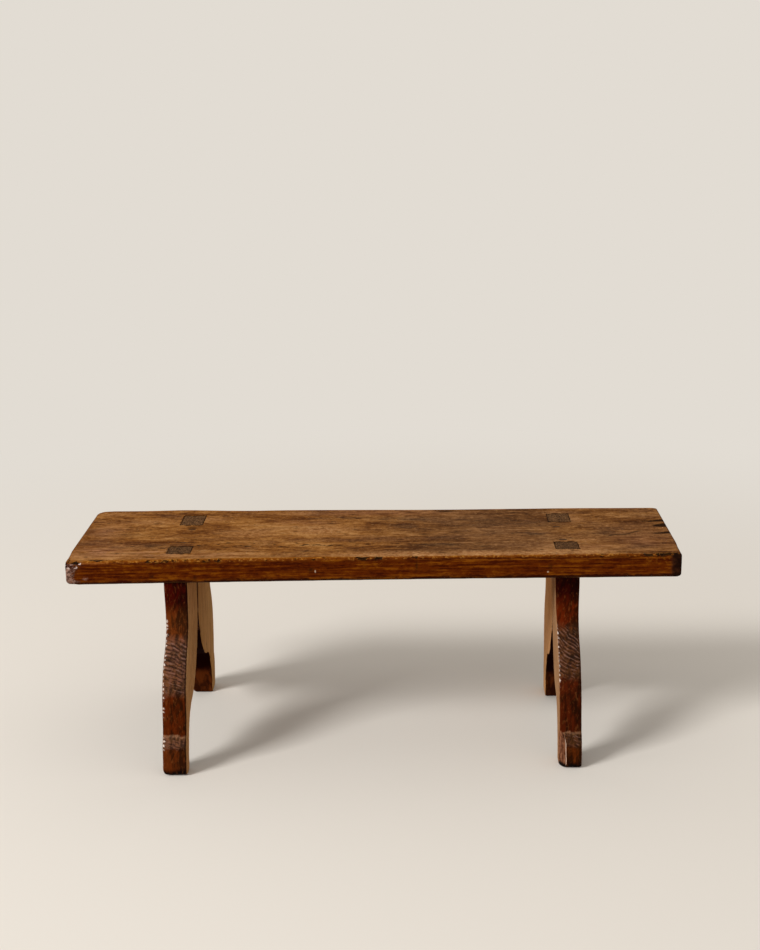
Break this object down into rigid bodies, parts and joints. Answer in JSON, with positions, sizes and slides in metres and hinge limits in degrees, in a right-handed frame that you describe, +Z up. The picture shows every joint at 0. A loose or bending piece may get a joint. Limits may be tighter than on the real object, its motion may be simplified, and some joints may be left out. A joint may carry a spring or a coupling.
{
  "type": "low bench",
  "caption": "Low plank bench on crosswise slab legs with an ogee arch between their feet, joined by wedged through tenons and nails, for sitting on or resting the feet.",
  "frame": {"origin": "on the floor, midway along the seat and in line with the middles of both legs", "axes": "+X along the seat towards the narrower leg, +Y to the back, +Z up"},
  "size_m": [0.95, 0.3701, 0.34],
  "materials": {
    "seat_wood": "waxed, worn, long grain",
    "leg_wood": "dark wax, polished by wear",
    "wedge_wood": "dark end grain",
    "nail_iron": "rusted black"
  },
  "bodies": {
    "root": {"seat_plank": "seat_wood", "left_slab_leg": "leg_wood", "right_slab_leg": "leg_wood", "left_front_wedge": "wedge_wood", "left_rear_wedge": "wedge_wood", "right_front_wedge": "wedge_wood", "right_rear_wedge": "wedge_wood", "left_front_nail": "nail_iron", "left_rear_nail": "nail_iron", "right_front_nail": "nail_iron", "right_rear_nail": "nail_iron"}
  },
  "joints": []
}
